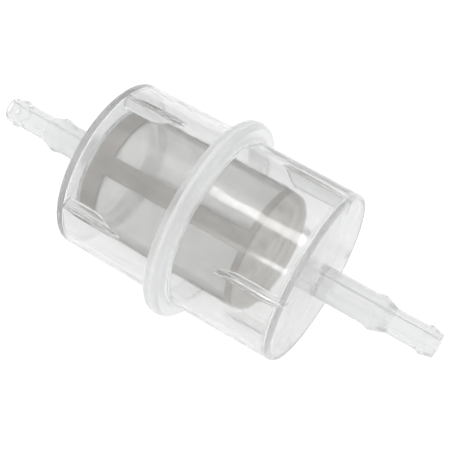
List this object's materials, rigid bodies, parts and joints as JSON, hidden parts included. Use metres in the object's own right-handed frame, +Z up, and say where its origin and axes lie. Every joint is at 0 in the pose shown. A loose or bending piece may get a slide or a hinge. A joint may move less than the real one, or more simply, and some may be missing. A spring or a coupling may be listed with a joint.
{
  "type": "in-line fuel filter",
  "caption": "Clear two-part in-line fuel filter with stepped hose stems at both ends, a welded flange and a nylon gauze cage inside.",
  "frame": {"origin": "on the flow axis, in the plane where the two cups are welded, which is the middle of the part", "axes": "+X along the flow axis towards the outlet stem, +Z up with the part lying on its side, +Y across"},
  "size_m": [0.1218, 0.052, 0.052],
  "materials": {
    "clear_plastic": "clear moulded plastic",
    "weld_plastic": "clear melted plastic",
    "nylon": "translucent natural nylon",
    "gauze": "fine woven nylon gauze"
  },
  "bodies": {
    "root": {"inlet_cup": "clear_plastic", "inlet_stem": "clear_plastic", "outlet_cup": "clear_plastic", "outlet_stem": "clear_plastic", "weld_bead": "weld_plastic", "element_cage": "nylon", "element_end_cap": "nylon", "gauze_screen": "gauze"}
  },
  "joints": []
}
